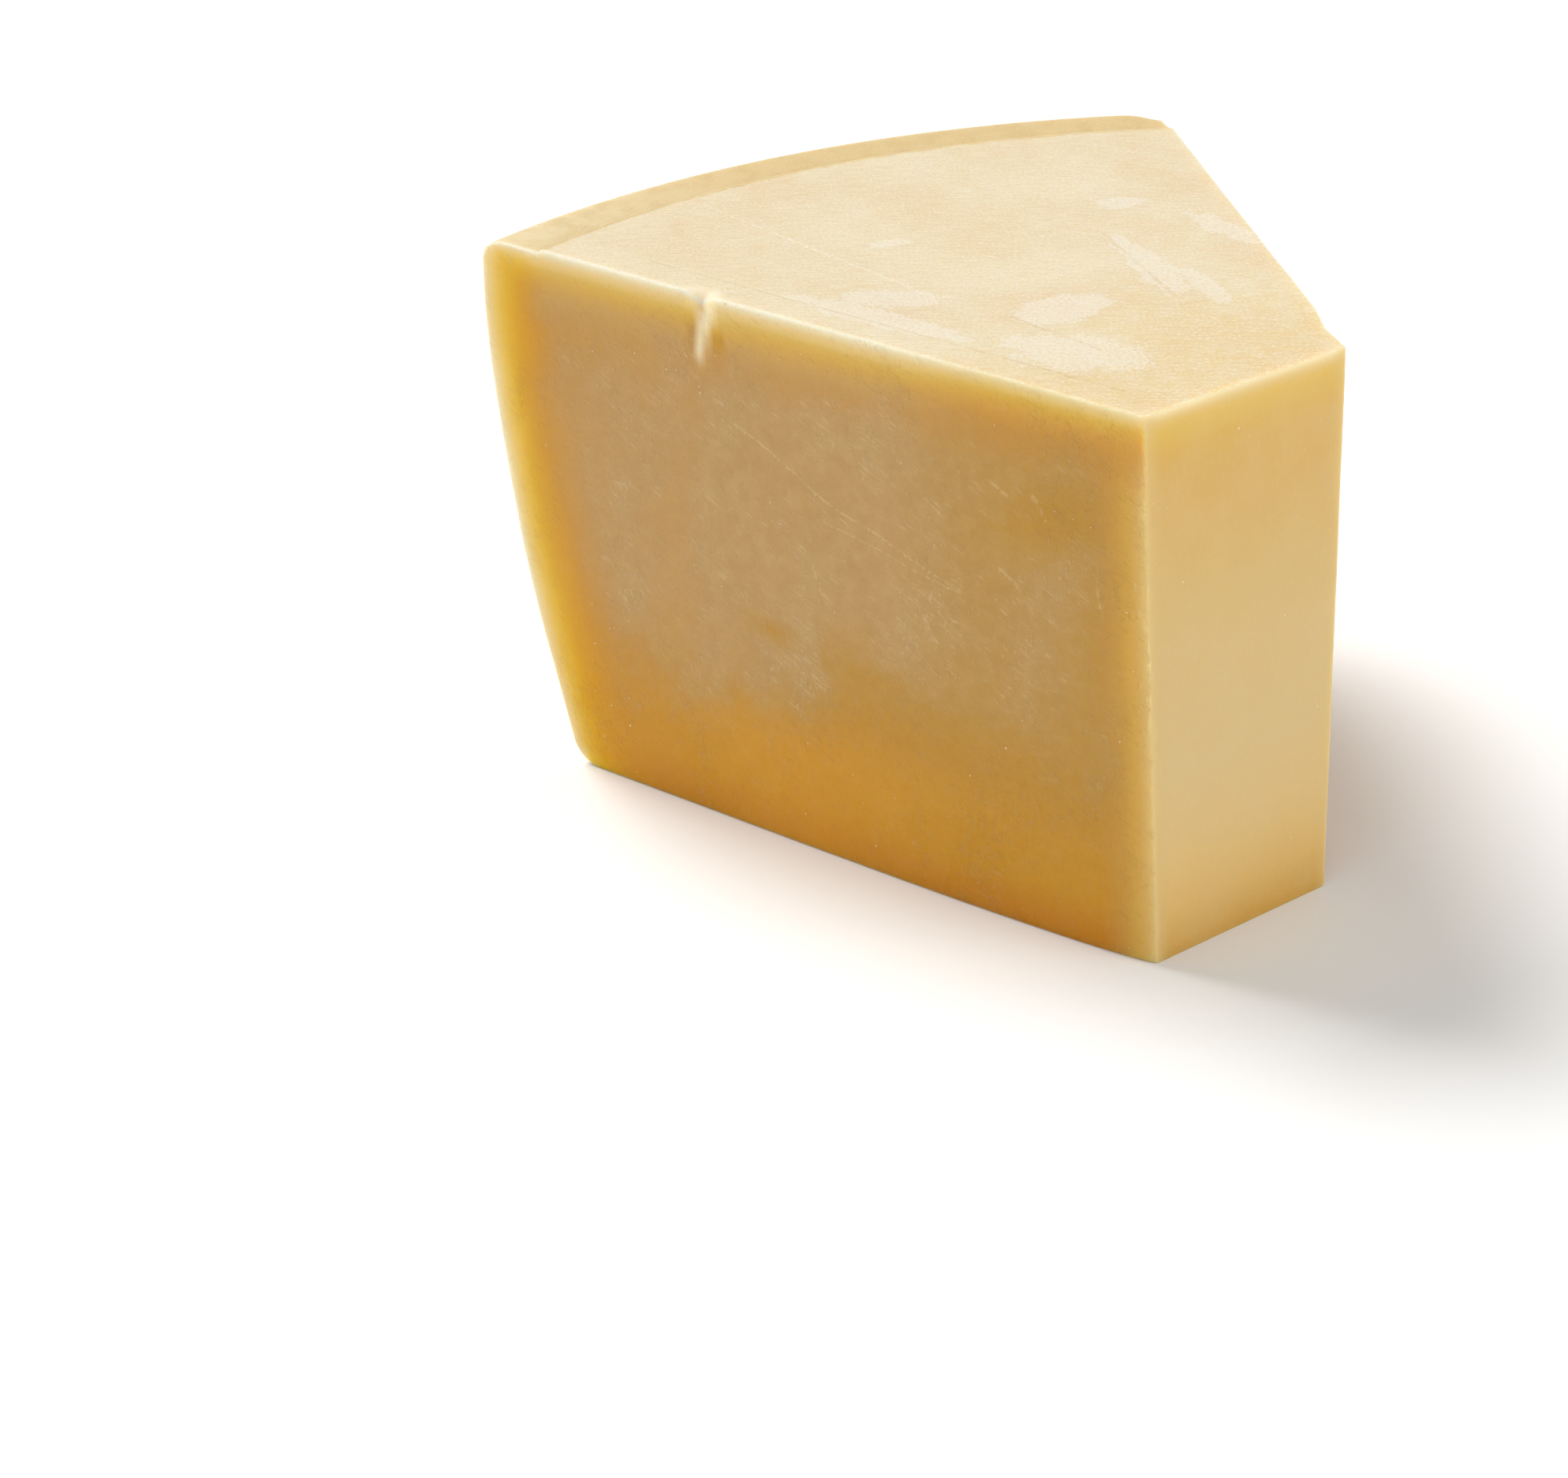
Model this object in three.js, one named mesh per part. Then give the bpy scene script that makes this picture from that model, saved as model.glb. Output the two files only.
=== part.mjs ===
// Aged hard cheese wedge: a sector of a tall round wheel with its thin tip cut off, standing on
// the flat side of the wheel. One closed solid.
// Millimetres, +Z up, resting on z = 0. The long front cut lies along X and faces -Y, the rind is
// at -X, and the short cut across the tip faces +X.

import * as THREE from 'three';
import { mergeVertices } from 'three/addons/utils/BufferGeometryUtils.js';

const { lerp, smoothstep } = THREE.MathUtils;

// The wheel. Plan positions are measured from the foot of the edge between front cut and tip cut.
const WHEEL_HEIGHT = 110;
const WHEEL_AXIS = new THREE.Vector2(38.4, -10.7);
const WHEEL_RADIUS = 194.3;
const WIDEST_HEIGHT = 97;
const RIND_SLUMP = 18.5;
const SLUMP_POWER = 1.6;
const SHOULDER_ROUND = 5.5;
const FOOT_ROUND = 5;

// The top of the wheel has a lower band along the rind, as wide as the press plate left it.
const BAND_WIDTH = 9.5;
const BAND_DROP = 0.7;
const BAND_HEIGHT = WHEEL_HEIGHT - BAND_DROP;
const STEP_WIDTH = 0.5;

// The two long cuts, each by a point near the tip and one near the rind, at foot and at top.
const FRONT_CUT = {
  footTip: new THREE.Vector2(0, 0),
  footRind: new THREE.Vector2(-134, 0),
  topTip: new THREE.Vector2(-5.1, -3.8),
  topRind: new THREE.Vector2(-140, -2.1),
};
const BACK_CUT = {
  footTip: new THREE.Vector2(10.7, 42.9),
  footRind: new THREE.Vector2(-75, 124.5),
  topTip: new THREE.Vector2(7.9, 44),
  topRind: new THREE.Vector2(-78, 125.5),
};

// The knife's small errors: the front cut bows out along its foot, most of all near the tip, and
// has long shallow waves.
const BOW_LENGTH = 134;
const BOW_DEPTH = 2.2;
const BOW_SKEW = 0.55;
const WAVE_DEPTH = 0.25;
const WAVE_LENGTH = 38;
const WAVE_HEIGHT = 54;

// The worn far corner of the rind, as a share of the arc, and its depth.
const WORN_SHARE = 0.06;
const WORN_DEPTH = 4;

// The nick: a short groove that runs down the front cut from a notch in its top edge.
const NICK = { distance: 94, halfWidth: 2.2, depth: 1.6, height: 13 };

// The back cut's top edge is pressed in near the tip, which leaves the tip's corner as a proud lip.
const PRESS = { distance: 9.5, halfWidth: 9.5, depth: 1.1, height: 12 };
const PRESS_FADE = 4;

// Mesh density along each direction of the wedge.
const RADIAL_STEPS = 24;
const ARC_STEPS = 16;
const WORN_STEPS = 3;
const HEIGHT_STEPS = 16;
const ROUND_STEPS = 4;
const DENT_SHARES = [-1, -0.5, 0, 0.5, 1];
const WELD_DISTANCE = 1e-4;

// How far a rounded corner of this radius draws back, at this distance from its flat.
function cornerInset(distance, radius) {
  const depth = Math.max(radius - distance, 0);
  return radius - Math.sqrt(radius * radius - depth * depth);
}

// Radius of the rind at a height: widest near the top, slumping inwards to the foot.
function rindRadius(height) {
  const below = Math.max(WIDEST_HEIGHT - height, 0) / WIDEST_HEIGHT;
  const slump = RIND_SLUMP * below ** SLUMP_POWER;
  const shoulder = cornerInset(BAND_HEIGHT - height, SHOULDER_ROUND);
  return WHEEL_RADIUS - slump - shoulder - cornerInset(height, FOOT_ROUND);
}

// The line of a cut at a share of the wheel's height.
function cutLine(cut, rise) {
  const tip = cut.footTip.clone().lerp(cut.topTip, rise);
  const rind = cut.footRind.clone().lerp(cut.topRind, rise);
  return { tip, along: rind.sub(tip).normalize() };
}

// Angle about the wheel's axis at which a cut meets a circle of this radius.
function cutAngle(cut, rise, radius) {
  const { tip, along } = cutLine(cut, rise);
  const offset = tip.clone().sub(WHEEL_AXIS);
  const half = offset.dot(along);
  const reach = Math.sqrt(half * half - offset.lengthSq() + radius * radius) - half;
  return offset.addScaledVector(along, reach).angle();
}

// Point on a circle about the wheel's axis, a share of the way from front cut to back cut.
function arcPoint(radius, share, rise) {
  const front = cutAngle(FRONT_CUT, rise, radius);
  const back = cutAngle(BACK_CUT, rise, radius);
  const angle = lerp(front, back, share);
  const rim = rindRadius(rise * BAND_HEIGHT);
  const nearCorner = smoothstep(share, 1 - WORN_SHARE, 1) ** 2;
  const nearRind = smoothstep(radius, rim - BAND_WIDTH, rim);
  const reach = radius - WORN_DEPTH * nearCorner * nearRind;
  return new THREE.Vector2(Math.cos(angle), Math.sin(angle)).multiplyScalar(reach).add(WHEEL_AXIS);
}

// How far the front cut bows out and waves at this distance from the tip.
function frontBulge(distance, height) {
  const skewed = Math.min(distance / BOW_LENGTH, 1) ** BOW_SKEW;
  const bow = BOW_DEPTH * Math.sin(Math.PI * skewed) * (1 - height / WHEEL_HEIGHT);
  const turn = 2 * Math.PI;
  const wave = Math.sin((turn * distance) / WAVE_LENGTH) * Math.sin((turn * height) / WAVE_HEIGHT);
  return bow + WAVE_DEPTH * wave;
}

// Depth of a dent in a cut's top edge, at this distance from the tip and this far below the top.
function dentDepth(dent, distance, below) {
  const across = Math.max(1 - Math.abs(distance - dent.distance) / dent.halfWidth, 0);
  return dent.depth * across * (1 - smoothstep(below, 0, dent.height));
}

// Point of the wedge. radial runs from the tip cut (0) to the inner edge of the band (1) and on to
// the rind (2), share from front cut (0) to back cut (1), rise from foot (0) to top (1).
function place(radial, share, rise) {
  const bandEdge = rindRadius(rise * BAND_HEIGHT) - BAND_WIDTH;
  const front = cutLine(FRONT_CUT, rise);
  const back = cutLine(BACK_CUT, rise);
  const tip = front.tip.clone().lerp(back.tip, share);
  const point = radial <= 1
    ? tip.clone().lerp(arcPoint(bandEdge, share, rise), radial)
    : arcPoint(bandEdge + BAND_WIDTH * (radial - 1), share, rise);

  const distance = point.distanceTo(tip);
  const height = rise * (radial > 1 ? BAND_HEIGHT : WHEEL_HEIGHT);
  const below = WHEEL_HEIGHT - height;
  const nick = share === 0 ? dentDepth(NICK, distance, below) : 0;
  point.y += nick - (1 - share) * frontBulge(distance, height);

  const inward = new THREE.Vector2(-back.along.y, back.along.x);
  point.addScaledVector(inward, share ** PRESS_FADE * dentDepth(PRESS, distance, below));
  return new THREE.Vector3(point.x, point.y, rise === 1 ? height - nick : height);
}

// Even shares from 0 to 1.
function evenShares(count) {
  return Array.from({ length: count + 1 }, (_, index) => index / count);
}

// Stations along the wedge: even ones, those of the two dents, and those of the step and band.
function radialStations() {
  const dents = [[NICK, 0], [PRESS, 1]].map(([dent, share]) => {
    const length = place(1, share, 1).distanceTo(place(0, share, 1));
    return DENT_SHARES.map((side) => (dent.distance + side * dent.halfWidth) / length);
  });
  const clear = (station) => dents.every((dent) => station <= dent[0] || station > dent[dent.length - 1]);
  const step = 1 + STEP_WIDTH / BAND_WIDTH;
  const even = evenShares(RADIAL_STEPS).filter((station) => station === 0 || clear(station));
  const own = dents.flat().filter((station) => station > 0);
  return [...even, ...own, step, (step + 2) / 2, 2].sort((a, b) => a - b);
}

// Stations across the wedge, closer together at the worn corner.
function arcStations() {
  const even = evenShares(ARC_STEPS).filter((share) => share < 1 - WORN_SHARE);
  const worn = evenShares(WORN_STEPS).map((share) => 1 - WORN_SHARE * (1 - share));
  return [...even, ...worn];
}

// Stations up the wedge, in even turns of the arc at the rounded foot and shoulder.
function heightStations() {
  const round = evenShares(ROUND_STEPS).map((share) => 1 - Math.cos((share * Math.PI) / 2));
  const foot = round.map((share) => (share * FOOT_ROUND) / WHEEL_HEIGHT);
  const shoulder = round.map((share) => 1 - (share * SHOULDER_ROUND) / WHEEL_HEIGHT).reverse();
  const low = foot[foot.length - 1];
  const between = evenShares(HEIGHT_STEPS).slice(1, -1).map((share) => lerp(low, shoulder[0], share));
  return [...foot, ...between, ...shoulder];
}

// Adds one side of the solid as a grid of triangles that face outwards.
function addSide(corners, columns, rows, at, flipped) {
  for (let column = 1; column < columns.length; column++) {
    for (let row = 1; row < rows.length; row++) {
      const a = at(columns[column - 1], rows[row - 1]);
      const b = at(columns[column], rows[row - 1]);
      const c = at(columns[column], rows[row]);
      const d = at(columns[column - 1], rows[row]);
      const pair = flipped ? [a, c, b, a, d, c] : [a, b, c, a, c, d];
      pair.forEach((corner) => corners.push(...corner.toArray()));
    }
  }
}

// The closed surface, moved so that the middle of its box stands over the origin.
function wedgeGeometry() {
  const radial = radialStations();
  const across = arcStations();
  const up = heightStations();
  const corners = [];
  addSide(corners, radial, up, (along, rise) => place(along, 0, rise), true);
  addSide(corners, radial, up, (along, rise) => place(along, 1, rise), false);
  addSide(corners, across, up, (share, rise) => place(0, share, rise), false);
  addSide(corners, across, up, (share, rise) => place(2, share, rise), true);
  addSide(corners, radial, across, (along, share) => place(along, share, 1), true);
  addSide(corners, radial, across, (along, share) => place(along, share, 0), false);

  const soup = new THREE.BufferGeometry();
  soup.setAttribute('position', new THREE.Float32BufferAttribute(corners, 3));
  const geometry = mergeVertices(soup, WELD_DISTANCE);
  geometry.computeBoundingBox();
  const middle = geometry.boundingBox.getCenter(new THREE.Vector3());
  geometry.translate(-middle.x, -middle.y, 0);
  geometry.computeVertexNormals();
  return geometry;
}

const cheese = new THREE.MeshStandardMaterial({ color: 0xdfae62, roughness: 0.55, metalness: 0 });
const wedge = new THREE.Mesh(wedgeGeometry(), cheese);
wedge.name = 'cheese_wedge';

const model = new THREE.Group();
model.add(wedge);
export default model;
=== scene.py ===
# Aged hard cheese wedge, dressed for the photograph's view.
# The wedge is grown by a Geometry Nodes tree from the same rule as the CAD solid, which it replaces,
# and a second tree scatters pale crystals over its cut sides.

import math

import bpy
from mathutils import Matrix, Vector


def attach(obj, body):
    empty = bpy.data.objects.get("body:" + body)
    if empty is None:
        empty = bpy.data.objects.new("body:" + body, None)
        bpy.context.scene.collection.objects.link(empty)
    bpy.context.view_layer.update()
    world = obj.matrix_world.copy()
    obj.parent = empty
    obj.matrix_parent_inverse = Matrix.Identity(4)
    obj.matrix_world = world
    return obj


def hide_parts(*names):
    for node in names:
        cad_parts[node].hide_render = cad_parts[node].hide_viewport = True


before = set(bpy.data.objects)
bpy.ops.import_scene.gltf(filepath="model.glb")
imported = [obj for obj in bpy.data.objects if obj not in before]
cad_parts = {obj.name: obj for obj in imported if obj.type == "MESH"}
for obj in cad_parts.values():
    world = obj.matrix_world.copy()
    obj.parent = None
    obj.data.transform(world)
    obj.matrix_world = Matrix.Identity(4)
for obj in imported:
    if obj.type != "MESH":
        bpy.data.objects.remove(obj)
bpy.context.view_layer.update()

MILLIMETRE = 0.001

# ---------------------------------------------------------------------------------------------
# Node trees: one way to add a node, and plain arithmetic on sockets.


class Wire:
    """The value that comes out of a node. Arithmetic on it adds Math nodes."""

    def __init__(self, tree, node, output=0):
        self.tree = tree
        self.node = node
        self.socket = node.outputs[output] if node.outputs else None

    def other(self, output):
        return Wire(self.tree, self.node, output)

    def maths(self, operation, *others, clamp=False):
        settings = {"operation": operation, "use_clamp": clamp}
        return self.tree.add("ShaderNodeMath", settings, dict(enumerate((self,) + others)))

    def reversed_maths(self, operation, first):
        settings = {"operation": operation}
        return self.tree.add("ShaderNodeMath", settings, {0: first, 1: self})

    def __add__(self, other):
        return self.maths("ADD", other)

    __radd__ = __add__

    def __sub__(self, other):
        return self.maths("SUBTRACT", other)

    def __rsub__(self, other):
        return self.reversed_maths("SUBTRACT", other)

    def __mul__(self, other):
        return self.maths("MULTIPLY", other)

    __rmul__ = __mul__

    def __truediv__(self, other):
        return self.maths("DIVIDE", other)

    def __rtruediv__(self, other):
        return self.reversed_maths("DIVIDE", other)

    def __pow__(self, other):
        return self.maths("POWER", other)

    def __abs__(self):
        return self.maths("ABSOLUTE")


class Tree:
    """A node tree, with one method that adds any node to it."""

    def __init__(self, data):
        self.data = data

    def add(self, kind, settings=None, inputs=None, output=0):
        node = self.data.nodes.new(kind)
        for name, value in (settings or {}).items():
            if name == "stops":
                set_stops(node.color_ramp, value)
            else:
                setattr(node, name, value)
        for name, value in (inputs or {}).items():
            self.feed(node.inputs[name], value)
        return Wire(self, node, output)

    def feed(self, socket, value):
        if isinstance(value, Wire):
            self.data.links.new(value.socket, socket)
        else:
            socket.default_value = value


def set_stops(ramp, stops):
    while len(ramp.elements) < len(stops):
        ramp.elements.new(1.0)
    for element, (place, colour) in zip(ramp.elements, stops):
        element.position = place
        element.color = colour


def blend(low, high, share):
    return low + (high - low) * share


def at_least(wire, limit):
    return wire.maths("MAXIMUM", limit)


def at_most(wire, limit):
    return wire.maths("MINIMUM", limit)


def root(wire):
    return wire.maths("SQRT")


def length_of(x, y, z=None):
    squares = x * x + y * y
    return root(squares if z is None else squares + z * z)


def ease(wire, low, high, start=0.0, end=1.0):
    """Smooth step from start where the value is low to end where it is high."""
    settings = {"interpolation_type": "SMOOTHSTEP"}
    inputs = {0: wire, 1: low, 2: high, 3: start, 4: end}
    return wire.tree.add("ShaderNodeMapRange", settings, inputs)


def ease_off(wire, low, high):
    """Smooth step from 1 where the value is low down to 0 where it is high."""
    return ease(wire, low, high, 1.0, 0.0)


def bump_at(wire, centre, width):
    """A smooth bump of height 1 at a centre."""
    offset = (wire - centre) / width
    return (offset * offset * -1.0).maths("EXPONENT")


def square_fade(wire, reach):
    """From 1 at 0 down to 0 at the reach, levelling out."""
    left = at_least(1.0 - wire / reach, 0.0)
    return left * left


def vector_of(tree, x, y, z):
    return tree.add("ShaderNodeCombineXYZ", {}, {0: x, 1: y, 2: z})


def parts_of(vector):
    split = vector.tree.add("ShaderNodeSeparateXYZ", {}, {0: vector})
    return split, split.other(1), split.other(2)


def noise(vector, scale, detail=2.0, roughness=0.5):
    """Noise between 0 and 1, with about scale bumps to a unit of the vector."""
    inputs = {"Vector": vector, "Scale": scale, "Detail": detail, "Roughness": roughness}
    return vector.tree.add("ShaderNodeTexNoise", {}, inputs)


# ---------------------------------------------------------------------------------------------
# Sizes, in millimetres. Plan positions are measured from the foot of the edge between the front
# cut and the tip cut, as in the CAD part.

SIZES = {
    "Wheel height": 110.0,
    "Wheel radius": 194.3,
    "Widest height": 97.0,
    "Rind slump": 18.5,
    "Slump power": 1.6,
    "Shoulder round": 5.5,
    "Foot round": 5.0,
    "Band width": 9.5,
    "Band drop": 0.7,
    "Cut edge round": 0.55,
    "Bow length": 134.0,
    "Bow depth": 2.2,
    "Bow skew": 0.55,
    "Wave depth": 0.25,
    "Wave length": 38.0,
    "Wave height": 54.0,
    "Worn share": 0.06,
    "Worn depth": 4.0,
    "Nick depth": 1.5,
    "Notch depth": 2.5,
    "Hollow depth": 0.35,
    "Press depth": 1.1,
    "Chip depth": 0.6,
    "Knife waver": 0.16,
    "Seed": 7.0,
}
WHEEL_AXIS = (38.4, -10.7)
FRONT_CUT = {"foot tip": (0.0, 0.0), "foot rind": (-134.0, 0.0),
             "top tip": (-5.1, -3.8), "top rind": (-140.0, -2.1)}
BACK_CUT = {"foot tip": (10.7, 42.9), "foot rind": (-75.0, 124.5),
            "top tip": (7.9, 44.0), "top rind": (-78.0, 125.5)}

# Where the middle of the CAD part's box lies in that plan.
MIDDLE = (-72.49805, 64.62282)

# The step along the band: its gap to the rind, its width, and how far down the sides it runs out.
STEP_GAP = SIZES["Band width"] + SIZES["Shoulder round"]
STEP_WIDTH = 0.5
STEP_FADE = 6.0

# The pressed-in stretch of the back cut's top edge, and how fast it fades towards the front cut.
PRESS_PLACE = 9.5
PRESS_HALF_WIDTH = 9.5
PRESS_HEIGHT = 12.0
PRESS_FADE = 4.0

# The nick: its place along the front cut, its bend, its corner and height, the hollow beside it by
# offset from its crease and by depth below the top, and a dimple nearer the tip.
NICK_PLACE = -102.6
NICK_BEND = 1.3
NICK_CORNER = 4.4
NICK_HEIGHT = 15.0
HOLLOW_PLACE = (5.3, 8.7)
HOLLOW_SIZE = (1.6, 2.6)
DIMPLE = ((-90.0, 93.5), (4.2, 1.5), -47.0)

# How far the painted glow of light shining through the top edge and the nick reaches into a cut.
GLOW_REACH = 16.0

# The block that is bent into the wedge: its length, its width at tip and rind, and its grid, whose
# lines are drawn together at the edges and at the nick.
BLOCK_LENGTH = 150.0
TIP_WIDTH = 45.0
RIND_WIDTH = 132.0
GRID = {"Vertices X": 191, "Vertices Y": 91, "Vertices Z": 111}
EDGE_CROWDING = 0.75
NICK_CROWDING = {"at": 0.64, "width": 0.06, "strength": 0.7}
TINY = 1e-6


class Sizes:
    """The named inputs of a Geometry Nodes tree, as wires."""

    def __init__(self, start):
        self.start = start

    def __getitem__(self, name):
        return self.start.other(name)

    def geometry(self):
        return self.start.other("Geometry")


def new_geometry_tree(name, sizes):
    """A tree with a geometry input and output and these named number inputs."""
    data = bpy.data.node_groups.new(name, "GeometryNodeTree")
    data.interface.new_socket("Geometry", in_out="OUTPUT", socket_type="NodeSocketGeometry")
    data.interface.new_socket("Geometry", in_out="INPUT", socket_type="NodeSocketGeometry")
    for size in sizes:
        data.interface.new_socket(size, in_out="INPUT", socket_type="NodeSocketFloat")
    data.interface.new_socket("Material", in_out="INPUT", socket_type="NodeSocketMaterial")
    tree = Tree(data)
    start = tree.add("NodeGroupInput")
    return tree, Sizes(start)


def finish_tree(tree, geometry, sizes, dressings=()):
    """Ends a tree. A dressing is a selection of faces and the material they get instead."""
    whole = tree.add("GeometryNodeRealizeInstances", {}, {"Geometry": geometry})
    inputs = {"Geometry": whole, "Material": sizes["Material"]}
    dressed = tree.add("GeometryNodeSetMaterial", {}, inputs)
    for selection, material in dressings:
        inputs = {"Geometry": dressed, "Selection": selection, "Material": material}
        dressed = tree.add("GeometryNodeSetMaterial", {}, inputs)
    tree.add("NodeGroupOutput", {}, {0: dressed})


def grow(name, tree, sizes, material, base_mesh=None):
    """Runs a tree on a new object, and keeps the result as that object's plain mesh."""
    mesh = base_mesh or bpy.data.meshes.new(name)
    piece = bpy.data.objects.new(name, mesh)
    bpy.context.scene.collection.objects.link(piece)
    growth = piece.modifiers.new("Growth", "NODES")
    growth.node_group = tree.data
    values = dict(sizes, Material=material)
    for socket in tree.data.interface.items_tree:
        if socket.in_out == "INPUT" and socket.name in values:
            growth[socket.identifier] = values[socket.name]
    evaluated = piece.evaluated_get(bpy.context.evaluated_depsgraph_get())
    piece.data = bpy.data.meshes.new_from_object(evaluated)
    piece.data.name = name
    piece.modifiers.clear()
    return piece


# ---------------------------------------------------------------------------------------------
# The wedge's shape.


def crowd(share, at, width, strength):
    """Draws grid lines together around a place."""
    offset = (share - at) / width
    pull = (offset * offset * -1.0).maths("EXPONENT")
    return share - offset * pull * (strength * width)


def crowd_ends(share):
    turn = (share * (2 * math.pi)).maths("SINE")
    return share - turn * (EDGE_CROWDING / (2 * math.pi))


def round_cut_edges(sizes, x, y, z, width):
    radius = sizes["Cut edge round"]
    inner = []
    for place, limit in ((x, BLOCK_LENGTH), (y, width), (z, sizes["Wheel height"])):
        inner.append(at_most(at_least(place, radius), limit - radius))
    offsets = [place - core for place, core in zip((x, y, z), inner)]
    stretch = radius / at_least(length_of(*offsets), TINY)
    return [core + offset * stretch for core, offset in zip(inner, offsets)]


def round_rind_edges(sizes, x, z):
    """Rounds the shoulder and the foot of the rind."""
    half = sizes["Wheel height"] * 0.5
    upper = z.maths("GREATER_THAN", half)
    radius = blend(sizes["Foot round"], sizes["Shoulder round"], upper)
    flat_length = BLOCK_LENGTH - radius
    flat_half = half - radius
    side = (z - half).maths("SIGN")
    beyond = at_least(x - flat_length, 0.0)
    above = at_least(abs(z - half) - flat_half, 0.0)
    reach = at_least(beyond.maths("MAXIMUM", above), TINY)
    shrink = reach / at_least(length_of(beyond, above), TINY)
    new_x = at_most(x, flat_length) + beyond * shrink
    new_z = half + side * (at_most(abs(z - half), flat_half) + above * shrink)
    return new_x, new_z


def cut_line(cut, rise):
    """Tip and direction of a cut's line at a share of the wheel's height."""
    tip = [blend(low, high, rise) for low, high in zip(cut["foot tip"], cut["top tip"])]
    rind = [blend(low, high, rise) for low, high in zip(cut["foot rind"], cut["top rind"])]
    run = [far - near for far, near in zip(rind, tip)]
    length = length_of(*run)
    return tip, [part / length for part in run]


def cut_angle(cut, rise, radius):
    """Angle about the wheel's axis at which a cut meets a circle."""
    tip, along = cut_line(cut, rise)
    offset = [place - centre for place, centre in zip(tip, WHEEL_AXIS)]
    half = offset[0] * along[0] + offset[1] * along[1]
    squares = offset[0] * offset[0] + offset[1] * offset[1]
    reach = root(half * half - squares + radius * radius) - half
    x = offset[0] + along[0] * reach
    y = offset[1] + along[1] * reach
    return y.maths("ARCTAN2", x)


def arc_point(sizes, radius, rim, share, rise):
    angle = blend(cut_angle(FRONT_CUT, rise, radius), cut_angle(BACK_CUT, rise, radius), share)
    near_corner = ease(share, 1.0 - sizes["Worn share"], 1.0)
    rind_zone = sizes["Band width"] + sizes["Shoulder round"]
    near_rind = ease(radius, rim - rind_zone, rim - sizes["Shoulder round"])
    reach = radius - sizes["Worn depth"] * near_corner * near_corner * near_rind
    return [angle.maths("COSINE") * reach + WHEEL_AXIS[0], angle.maths("SINE") * reach + WHEEL_AXIS[1]]


def front_bulge(sizes, distance, height):
    skewed = at_most(distance / sizes["Bow length"], 1.0) ** sizes["Bow skew"]
    bow = sizes["Bow depth"] * (skewed * math.pi).maths("SINE") * (1.0 - height / sizes["Wheel height"])
    turn = 2 * math.pi
    wave = (distance * turn / sizes["Wave length"]).maths("SINE")
    wave = wave * (height * turn / sizes["Wave height"]).maths("SINE")
    return bow + sizes["Wave depth"] * wave


def place_in_wheel(sizes, x, share, height):
    """Bends the block into the sector of the wheel that the cuts leave."""
    full_height = sizes["Wheel height"]
    rise = height / full_height
    rind_zone = sizes["Band width"] + sizes["Shoulder round"]
    below = at_least(sizes["Widest height"] - height, 0.0) / sizes["Widest height"]
    rim = sizes["Wheel radius"] - sizes["Rind slump"] * below ** sizes["Slump power"]
    inner_length = BLOCK_LENGTH - rind_zone
    radius = rim - rind_zone + at_least(x - inner_length, 0.0)
    travel = at_most(x / inner_length, 1.0)

    front_tip = cut_line(FRONT_CUT, rise)[0]
    back_tip, back_along = cut_line(BACK_CUT, rise)
    tip = [blend(near, far, share) for near, far in zip(front_tip, back_tip)]
    arc = arc_point(sizes, radius, rim, share, rise)
    point = [blend(near, far, travel) for near, far in zip(tip, arc)]
    distance = length_of(point[0] - tip[0], point[1] - tip[1])

    point[1] = point[1] - (1.0 - share) * front_bulge(sizes, distance, height)
    across = at_least(1.0 - abs(distance - PRESS_PLACE) / PRESS_HALF_WIDTH, 0.0)
    fade = ease_off(full_height - height, 0.0, PRESS_HEIGHT)
    press = sizes["Press depth"] * across * fade * share ** PRESS_FADE
    point[0] = point[0] - back_along[1] * press
    point[1] = point[1] + back_along[0] * press

    on_band = ease(x, inner_length, inner_length + STEP_WIDTH)
    dropped = on_band * square_fade(full_height - height, STEP_FADE)
    return point[0], point[1], height - dropped * sizes["Band drop"]


def crease_offset(x, below):
    """Distance from the nick's crease, which bends towards the rind on its way down."""
    bend = ease(below, 1.0, 8.0) - ease(below, 10.0, 16.0) * 0.3
    return x - NICK_PLACE + bend * NICK_BEND


def nick_shape(offset, below):
    """Across the nick, from 0 on the plain cut to 1 in its crease. The cut sinks to the crease on the
    rind side, and rounds up out of it like a corner on the tip side."""
    reach = ease(below, 0.0, 6.0, 3.5, 2.4)
    sinking = ease(offset / reach, -1.0, 0.0) ** 1.5
    corner = at_least(1.0 - at_least(offset, 0.0) / NICK_CORNER, 0.0) ** 1.5
    return sinking * corner * ease_off(below, 3.0, NICK_HEIGHT)


def nick_glow(offset, below):
    """The gap to the nick's lit corner, from which a painted glow of light shining through reaches into
    the cut, as from the top's edge.
    """
    beyond = offset * 0.6 + 0.9 + ease(below, 6.0, 11.0, 0.0, GLOW_REACH)
    return blend(GLOW_REACH, beyond, ease(offset, -0.3, 0.05))


def nick_streak(offset, below):
    """1 on the painted highlight, a pale streak, that runs down the nick's lit corner."""
    reach = ease(below, 2.0, 14.0, 4.6, 2.6)
    streak = ease(offset, -0.6, 0.3) * ease_off(offset / reach, 0.5, 1.1)
    return streak * ease_off(below, 11.0, 15.5)


def store(shape, values):
    """Keeps values on the points, for the relief and the paint to read."""
    for name, value in values.items():
        settings = {"data_type": "FLOAT", "domain": "POINT"}
        inputs = {"Geometry": shape, "Name": name, "Value": value}
        shape = shape.tree.add("GeometryNodeStoreNamedAttribute", settings, inputs)
    return shape


def stored(tree, name):
    return tree.add("GeometryNodeInputNamedAttribute", {"data_type": "FLOAT"}, {"Name": name})


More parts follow.
